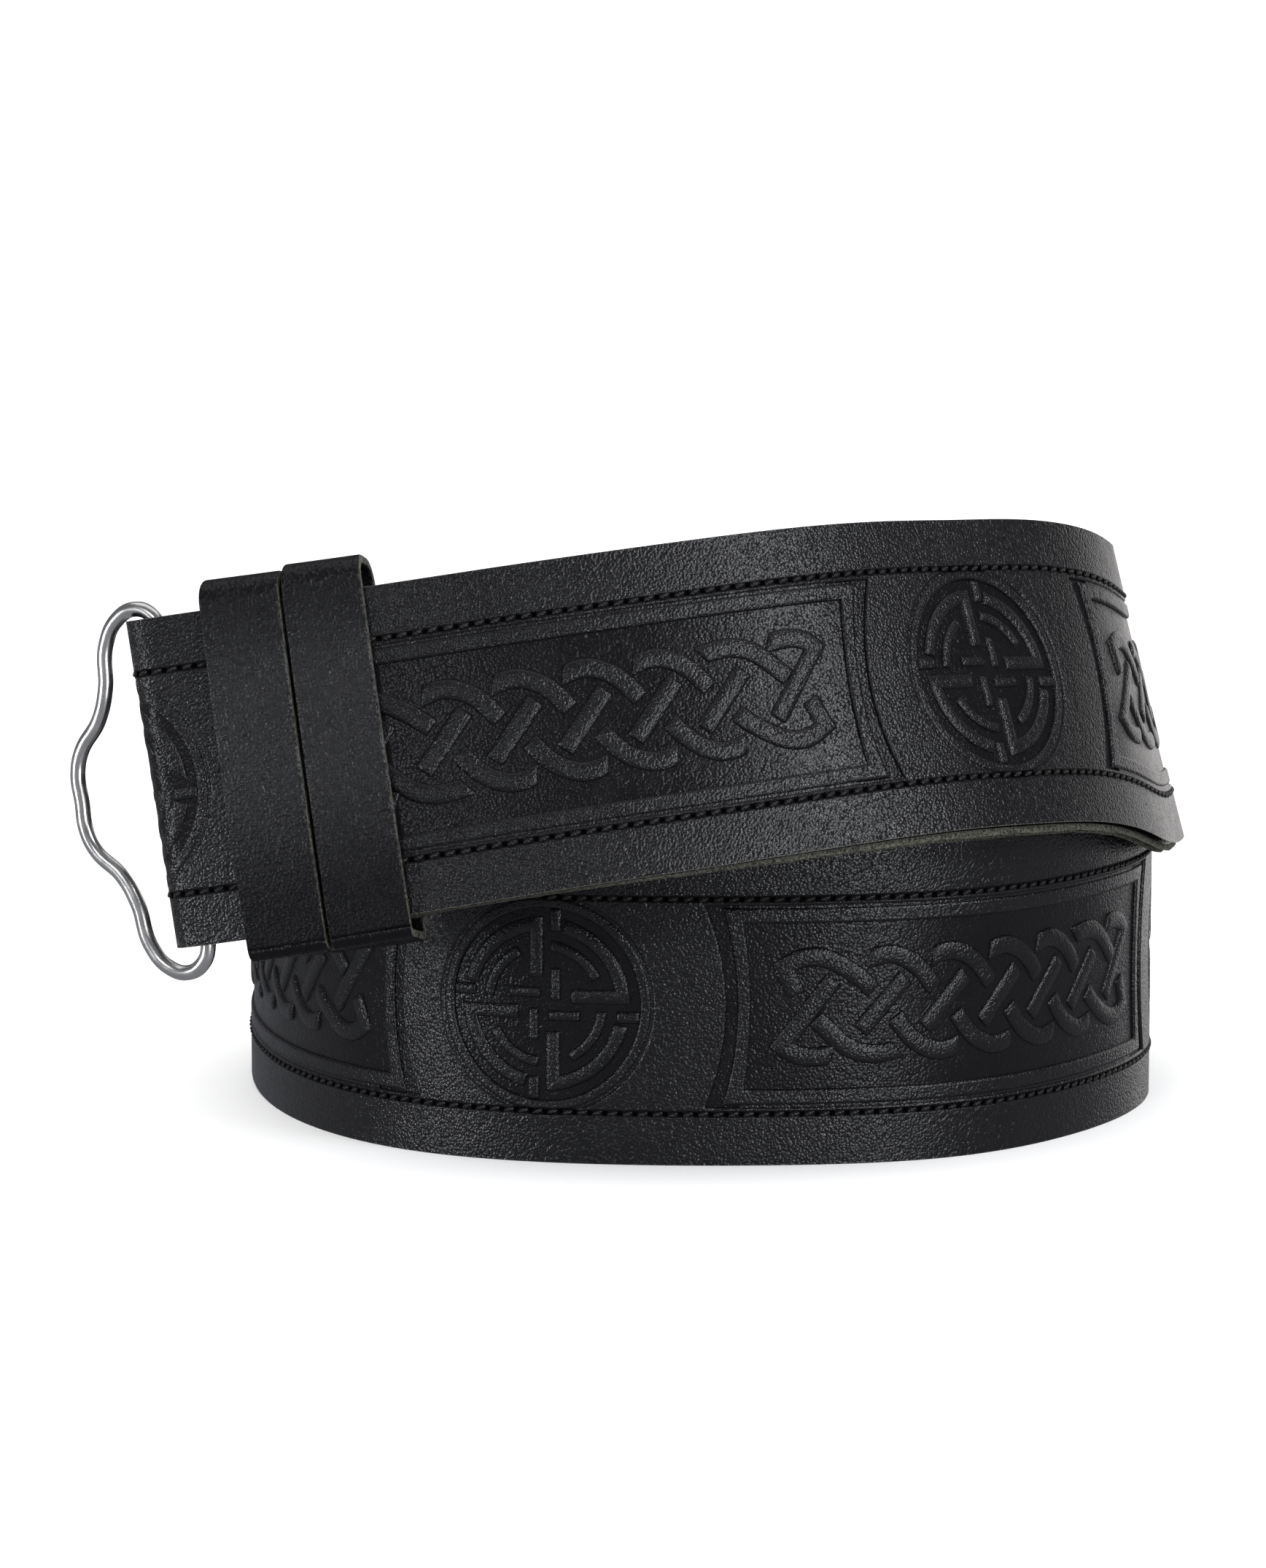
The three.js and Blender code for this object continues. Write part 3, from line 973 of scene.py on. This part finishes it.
class Nodes:
    """Short calls that add and link the nodes of one material."""

    def __init__(self, name):
        self.material = bpy.data.materials.new(name)
        self.material.use_nodes = True
        self.tree = self.material.node_tree
        self.shader = self.tree.nodes["Principled BSDF"]

    def add(self, kind, links=None, **settings):
        node = self.tree.nodes.new(kind)
        for key, value in settings.items():
            setattr(node, key, value)
        for socket, value in (links or {}).items():
            self.set(node.inputs[socket], value)
        return node

    def set(self, socket, value):
        if isinstance(value, bpy.types.NodeSocket):
            self.tree.links.new(value, socket)
        else:
            socket.default_value = value

    def math(self, operation, a, b=0.0):
        return self.add("ShaderNodeMath", {0: a, 1: b}, operation=operation).outputs[0]

    def layout(self):
        return self.add("ShaderNodeAttribute", attribute_name="layout").outputs["Vector"]

    def split(self, vector):
        return self.add("ShaderNodeSeparateXYZ", {0: vector}).outputs

    def noise(self, vector, size, detail=2.0, roughness=0.5):
        sockets = {"Vector": vector, "Scale": 1 / size, "Detail": detail, "Roughness": roughness}
        return self.add("ShaderNodeTexNoise", sockets).outputs["Fac"]

    def cells(self, vector, size):
        sockets = {"Vector": vector, "Scale": 1 / size}
        return self.add("ShaderNodeTexVoronoi", sockets).outputs["Distance"]

    def ramp(self, value, low, high, to_low=0.0, to_high=1.0):
        sockets = {"Value": value, "From Min": low, "From Max": high}
        sockets |= {"To Min": to_low, "To Max": to_high}
        kind = "SMOOTHSTEP"
        return self.add("ShaderNodeMapRange", sockets, interpolation_type=kind).outputs["Result"]

    def mix(self, share, a, b):
        node = self.add("ShaderNodeMix", data_type="RGBA")
        self.set(node.inputs["Factor"], share)
        self.set(node.inputs[6], a)
        self.set(node.inputs[7], b)
        return node.outputs[2]

    def pebbles(self, vector, size):
        """Heights of small rounded pebbles with sharp creases between them."""
        spread = self.noise(vector, 2.2 * size, detail=1)
        from_top = self.math("POWER", self.cells(vector, size), 2.0)
        return self.math("MULTIPLY", from_top, self.ramp(spread, 0.3, 0.7, -1.2, -2.0))

    def bump(self, height, distance, strength=1.0, under=None):
        sockets = {"Height": height, "Distance": distance, "Strength": strength}
        node = self.add("ShaderNodeBump", sockets)
        if under is not None:
            self.set(node.inputs["Normal"], under)
        return node.outputs["Normal"]


def cut_edge(n, from_middle, half_width, begins, full):
    """1 on the cut edge of a strip and 0 on its face: begins and full are how far inside the
    edge the change lies."""
    distance = n.math("ABSOLUTE", from_middle)
    return n.ramp(distance, half_width - begins, half_width - full)


def edge_olive(n, layout):
    """The colour of leather's cut edge, dressed dark with paler fibres showing."""
    fibre = n.noise(layout, 0.5 * MM, detail=4, roughness=0.7)
    return n.mix(n.ramp(fibre, 0.34, 0.66), (0.006, 0.006, 0.005, 1), (0.085, 0.085, 0.066, 1))


def stitch_marks(n, way, side):
    """How near a place is to the groove that the stitches lie in, and to a needle hole."""
    from_row = n.math("ABSOLUTE", n.math("SUBTRACT", n.math("ABSOLUTE", side), STITCH_SIDE))
    groove = n.ramp(from_row, 0.3 * MM, 0.75 * MM, 1, 0)
    count = n.math("DIVIDE", n.math("SUBTRACT", way, FLAP_START + FIRST_STITCH), STITCH_PITCH)
    from_hole = n.math("ABSOLUTE", n.math("SUBTRACT", n.math("FRACT", count), 0.5))
    near = n.math("MAXIMUM", n.math("MULTIPLY", from_hole, STITCH_PITCH), from_row)
    hole = n.ramp(near, 0.3 * MM, 0.62 * MM, 1, 0)
    return groove, hole


def face_leather():
    """Black leather with a fine pebbled grain, wrinkled at the fold, and olive-grey where its
    edge is cut. Its needle holes and stitch groove are darkened with painted shade."""
    n = Nodes("face_leather")
    layout = n.layout()
    way, side, height = n.split(layout)
    groove, hole = stitch_marks(n, way, side)
    edge = cut_edge(n, side, STRAP_WIDTH / 2, 0.14 * MM, 0.04 * MM)
    pressed = n.ramp(height, -0.5 * MM, -0.25 * MM, 1, 0)

    drift = n.noise(layout, 14 * MM)
    black = n.mix(drift, (0.0018, 0.0018, 0.0026, 1), (0.0038, 0.0036, 0.0044, 1))
    # Painted shade: the needle holes are only a bump, and this near-black stands in for the shade
    # inside them.
    black = n.mix(hole, black, (0.0006, 0.0006, 0.0006, 1))
    n.set(n.shader.inputs["Base Color"], n.mix(edge, black, edge_olive(n, layout)))

    creases = n.noise(layout, 0.36 * MM, detail=3, roughness=0.6)
    patches = n.ramp(n.noise(layout, 5 * MM), 0.3, 0.7, -0.02, 0.04)
    rough = n.math("ADD", n.ramp(creases, 0.3, 0.7, 0.19, 0.28), patches)
    dull = n.math("MAXIMUM", edge, n.math("MAXIMUM", groove, hole))
    n.set(n.shader.inputs["Roughness"], n.math("ADD", rough, n.math("MULTIPLY", dull, 0.4)))

    near_fold = n.ramp(way, 0, 9 * MM, 1, 0)
    slanted = n.math("ADD", n.math("MULTIPLY", side, 0.55), way)
    folds = n.add("ShaderNodeCombineXYZ", {0: n.math("MULTIPLY", slanted, 4), 1: side, 2: height})
    wrinkle = n.math("MULTIPLY", n.noise(folds.outputs[0], 4 * MM, detail=3), near_fold)
    sunk = n.math("ADD", n.math("MULTIPLY", groove, -1.0), n.math("MULTIPLY", hole, -1.5))
    shape = n.math("ADD", sunk, n.math("MULTIPLY", wrinkle, 0.8))
    sewn = n.bump(shape, 0.22 * MM, 0.9)
    grain = n.math("ADD", n.pebbles(layout, 0.52 * MM), n.math("MULTIPLY", creases, 0.9))
    grain = n.math("MULTIPLY", grain, n.math("SUBTRACT", 1.0, n.math("MULTIPLY", pressed, 0.35)))
    n.set(n.shader.inputs["Normal"], n.bump(grain, 0.08 * MM, 0.9, sewn))

    shine = n.math("SUBTRACT", 0.52, n.math("MULTIPLY", pressed, 0.2))
    # Painted shade: the shine is cut in the stitch groove and the needle holes, so that they read
    # black.
    painted_stitch_shade = n.math("MAXIMUM", n.math("MULTIPLY", groove, 0.8), hole)
    shine = n.math("MULTIPLY", shine, n.ramp(painted_stitch_shade, 0, 1, 1, 0))
    n.set(n.shader.inputs["Specular IOR Level"], shine)
    return n.material


def backing_leather():
    """Plain matt leather, a little browner and with a coarser fibre than the face."""
    n = Nodes("backing_leather")
    layout = n.layout()
    way, side, _ = n.split(layout)
    groove, hole = stitch_marks(n, way, side)
    edge = cut_edge(n, side, STRAP_WIDTH / 2, 0.14 * MM, 0.04 * MM)
    drift = n.noise(layout, 9 * MM, detail=3)
    black = n.mix(drift, (0.010, 0.0095, 0.009, 1), (0.020, 0.019, 0.0175, 1))
    # Painted shade: the needle holes are only a bump, and this near-black stands in for the shade
    # inside them.
    black = n.mix(hole, black, (0.001, 0.001, 0.001, 1))
    n.set(n.shader.inputs["Base Color"], n.mix(edge, black, edge_olive(n, layout)))
    n.shader.inputs["Roughness"].default_value = 0.75
    sewn = n.bump(n.math("ADD", groove, hole), 0.2 * MM, 0.9)
    sewn.node.invert = True
    grain = n.noise(layout, 0.45 * MM, detail=4, roughness=0.65)
    n.set(n.shader.inputs["Normal"], n.bump(grain, 0.16 * MM, 0.8, sewn))
    n.shader.inputs["Specular IOR Level"].default_value = 0.3
    return n.material


# Where a keeper's shine is lowered as painted shade, along its strip: from its foot up the
# front, over its head and under its foot
FRONT_FOOT = (2 * MM, 32 * MM)
HEAD = (44 * MM, 60 * MM)
UNDERSIDE = (118 * MM, 130 * MM)


def keeper_leather():
    """Black leather with a finer grain than the strap's, its shine lowered at the foot and the
    head as painted shade.
    """
    n = Nodes("keeper_leather")
    layout = n.layout()
    way, across, _ = n.split(layout)
    half = KEEPER_WIDTH / 2
    edge = cut_edge(n, n.math("SUBTRACT", across, half), half, 0.16 * MM, 0.05 * MM)
    drift = n.noise(layout, 8 * MM)
    black = n.mix(drift, (0.0016, 0.0016, 0.0022, 1), (0.0032, 0.0031, 0.0038, 1))
    n.set(n.shader.inputs["Base Color"], n.mix(edge, black, edge_olive(n, layout)))
    creases = n.noise(layout, 0.36 * MM, detail=4, roughness=0.65)
    rough = n.ramp(creases, 0.3, 0.7, 0.22, 0.32)
    n.set(n.shader.inputs["Roughness"], n.math("ADD", rough, n.math("MULTIPLY", edge, 0.35)))
    grain = n.math("ADD", n.pebbles(layout, 0.5 * MM), n.math("MULTIPLY", creases, 0.9))
    n.set(n.shader.inputs["Normal"], n.bump(grain, 0.1 * MM, 0.9))
    # Painted shade: lower shine makes the keeper darker towards its foot, under it and over its
    # head.
    foot = n.math("MAXIMUM", n.ramp(way, *FRONT_FOOT, 1, 0), n.ramp(way, *UNDERSIDE))
    shine = n.math("SUBTRACT", 0.6, n.math("MULTIPLY", foot, 0.45))
    shine = n.math("SUBTRACT", shine, n.math("MULTIPLY", n.ramp(way, *HEAD), 0.3))
    n.set(n.shader.inputs["Specular IOR Level"], n.math("MAXIMUM", 0.18, shine))
    return n.material


def nickel_plate():
    """Polished plating, a little clouded by wear."""
    n = Nodes("nickel_plate")
    place = n.add("ShaderNodeTexCoord").outputs["Object"]
    n.shader.inputs["Base Color"].default_value = (0.88, 0.87, 0.85, 1)
    n.shader.inputs["Metallic"].default_value = 1
    wear = n.noise(place, 3 * MM, detail=4)
    n.set(n.shader.inputs["Roughness"], n.ramp(wear, 0.3, 0.75, 0.2, 0.32))
    return n.material


def stitch_thread():
    """Black waxed thread. Slanted bands stand for its twist."""
    n = Nodes("stitch_thread")
    sockets = {"Vector": n.layout(), "Scale": 1 / (1.4 * MM)}
    bands = n.add("ShaderNodeTexWave", sockets, bands_direction="DIAGONAL")
    twist = bands.outputs["Fac"]
    black = n.mix(twist, (0.0015, 0.0015, 0.0018, 1), (0.007, 0.007, 0.0075, 1))
    n.set(n.shader.inputs["Base Color"], black)
    n.shader.inputs["Roughness"].default_value = 0.42
    n.set(n.shader.inputs["Normal"], n.bump(twist, 0.12 * MM, 0.7))
    return n.material


def pale_floor():
    n = Nodes("pale_floor")
    place = n.add("ShaderNodeTexCoord").outputs["Object"]
    pale = n.mix(n.noise(place, 0.4), (0.92, 0.92, 0.92, 1), (0.94, 0.94, 0.94, 1))
    n.set(n.shader.inputs["Base Color"], pale)
    n.shader.inputs["Roughness"].default_value = 0.8
    return n.material


# Assembly


def put_on(piece, material, slot, *nodes):
    piece.data.materials.clear()
    piece.data.materials.append(material)
    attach(piece, "root")
    if nodes:
        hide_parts(*nodes)


face_finish = face_leather()
backing_finish = backing_leather()
keeper_finish = keeper_leather()
face_nodes = [f"strap_face_{number}" for number in STRAP_LENGTHS]
backing_nodes = [f"strap_backing_{number}" for number in STRAP_LENGTHS]
put_on(strap_face(), face_finish, "face_leather", *face_nodes)
put_on(knot_relief(), face_finish, "face_leather")
put_on(strap_backing(), backing_finish, "backing_leather", *backing_nodes)
put_on(stitches(), stitch_thread(), "stitch_thread")
for number in range(2):
    put_on(keeper(number), keeper_finish, "keeper_leather", f"keeper_{number + 1}")
put_on(buckle_loop(), nickel_plate(), "nickel_plate", "buckle_loop")


# Studio


def studio_floor():
    bpy.ops.object.select_all(action="DESELECT")
    bpy.ops.mesh.primitive_plane_add(size=30, location=(0, 0, 0))
    floor = bpy.context.object
    floor.name = "studio_floor"
    floor.data.materials.append(pale_floor())
    floor.visible_glossy = False


DAYLIGHT = (0.94, 0.96, 1)
WARM = (1, 0.97, 0.94)
WHITE = (1, 1, 1)
COIL_AIM = Vector((0, 0, 0.05))


def add_lamp(name, kind, facing, power, colour):
    """A lamp that shines the way that facing points."""
    light = bpy.data.lights.new(name, kind)
    light.energy = power
    light.color = colour
    lamp = bpy.data.objects.new(name, light)
    lamp.rotation_euler = facing.to_track_quat("-Z", "Y").to_euler()
    bpy.context.collection.objects.link(lamp)
    return lamp


def soft_light(name, place, size, power, colour):
    """A soft box at a place, turned to the coil."""
    lamp = add_lamp(name, "AREA", COIL_AIM - Vector(place), power, colour)
    lamp.location = place
    lamp.data.shape = "RECTANGLE"
    lamp.data.size, lamp.data.size_y = size


def far_light(name, turn, rise, spread, power, colour):
    """A soft light far off: turn degrees round from the right, rise degrees up."""
    turn, rise = math.radians(turn), math.radians(rise)
    level = math.cos(rise)
    towards = Vector((math.cos(turn) * level, math.sin(turn) * level, math.sin(rise)))
    lamp = add_lamp(name, "SUN", -towards, power, colour)
    lamp.data.angle = math.radians(spread)
    return lamp


def studio_lights():
    far_light("high_right", -36, 30, 18, 1.05, DAYLIGHT)
    far_light("high_front", -112, 24, 10, 0.27, DAYLIGHT)
    rim = far_light("back_right", 62, 8, 40, 0.34, WARM)
    rim.visible_diffuse = False
    soft_light("low_right", (0.55, -1.02, 0.08), (0.15, 0.3), 3, DAYLIGHT)
    soft_light("low_left", (-0.97, -0.58, 0.08), (0.1, 0.3), 3.3, DAYLIGHT)
    soft_light("top", (0, 0.1, 1.2), (1.4, 1.0), 3, WHITE)


def studio_room():
    """A white backdrop to the eye, and a dim room, darker higher up, in what gleams."""
    world = bpy.data.worlds.new("studio")
    world.use_nodes = True
    nodes, links = world.node_tree.nodes, world.node_tree.links
    backdrop = nodes["Background"]
    backdrop.inputs["Color"].default_value = (1, 1, 1, 1)
    backdrop.inputs["Strength"].default_value = 1.5
    room = nodes.new("ShaderNodeBackground")
    room.inputs["Color"].default_value = (0.9, 0.92, 1, 1)
    direction = nodes.new("ShaderNodeTexCoord")
    height = nodes.new("ShaderNodeSeparateXYZ")
    darker_up = nodes.new("ShaderNodeMapRange")
    darker_up.inputs["From Min"].default_value = 0
    darker_up.inputs["From Max"].default_value = 0.22
    darker_up.inputs["To Min"].default_value = 0.21
    darker_up.inputs["To Max"].default_value = 0.1
    path = nodes.new("ShaderNodeLightPath")
    either = nodes.new("ShaderNodeMixShader")
    links.new(direction.outputs["Generated"], height.inputs[0])
    links.new(height.outputs["Z"], darker_up.inputs["Value"])
    links.new(darker_up.outputs["Result"], room.inputs["Strength"])
    links.new(path.outputs["Is Glossy Ray"], either.inputs[0])
    links.new(backdrop.outputs[0], either.inputs[1])
    links.new(room.outputs[0], either.inputs[2])
    links.new(either.outputs[0], nodes["World Output"].inputs["Surface"])
    bpy.context.scene.world = world
    bpy.context.scene.view_settings.view_transform = "Standard"


# The photograph's camera, level with the scene's X axis. Its elevation is in degrees, and its lens
# and its sensor's height in millimetres.
CAMERA_TARGET = Vector((-4.91, -9.66, 50)) * MM
CAMERA_DISTANCE = 913.36 * MM
CAMERA_ELEVATION = 7.43
CAMERA_LENS = 109.96
CAMERA_SHIFT = 0.0326
SENSOR_HEIGHT = 36


def photo_camera():
    camera = bpy.data.cameras.new("camera")
    camera.sensor_fit = "VERTICAL"
    camera.sensor_height = SENSOR_HEIGHT
    camera.lens = CAMERA_LENS
    camera.shift_y = CAMERA_SHIFT
    camera.clip_start = 0.05
    eye = bpy.data.objects.new("camera", camera)
    elevation = math.radians(CAMERA_ELEVATION)
    towards = Vector((0, -math.cos(elevation), math.sin(elevation)))
    eye.location = CAMERA_TARGET + CAMERA_DISTANCE * towards
    eye.rotation_euler = (math.pi / 2 - elevation, 0, 0)
    bpy.context.collection.objects.link(eye)
    bpy.context.scene.camera = eye


studio_floor()
studio_lights()
studio_room()
photo_camera()
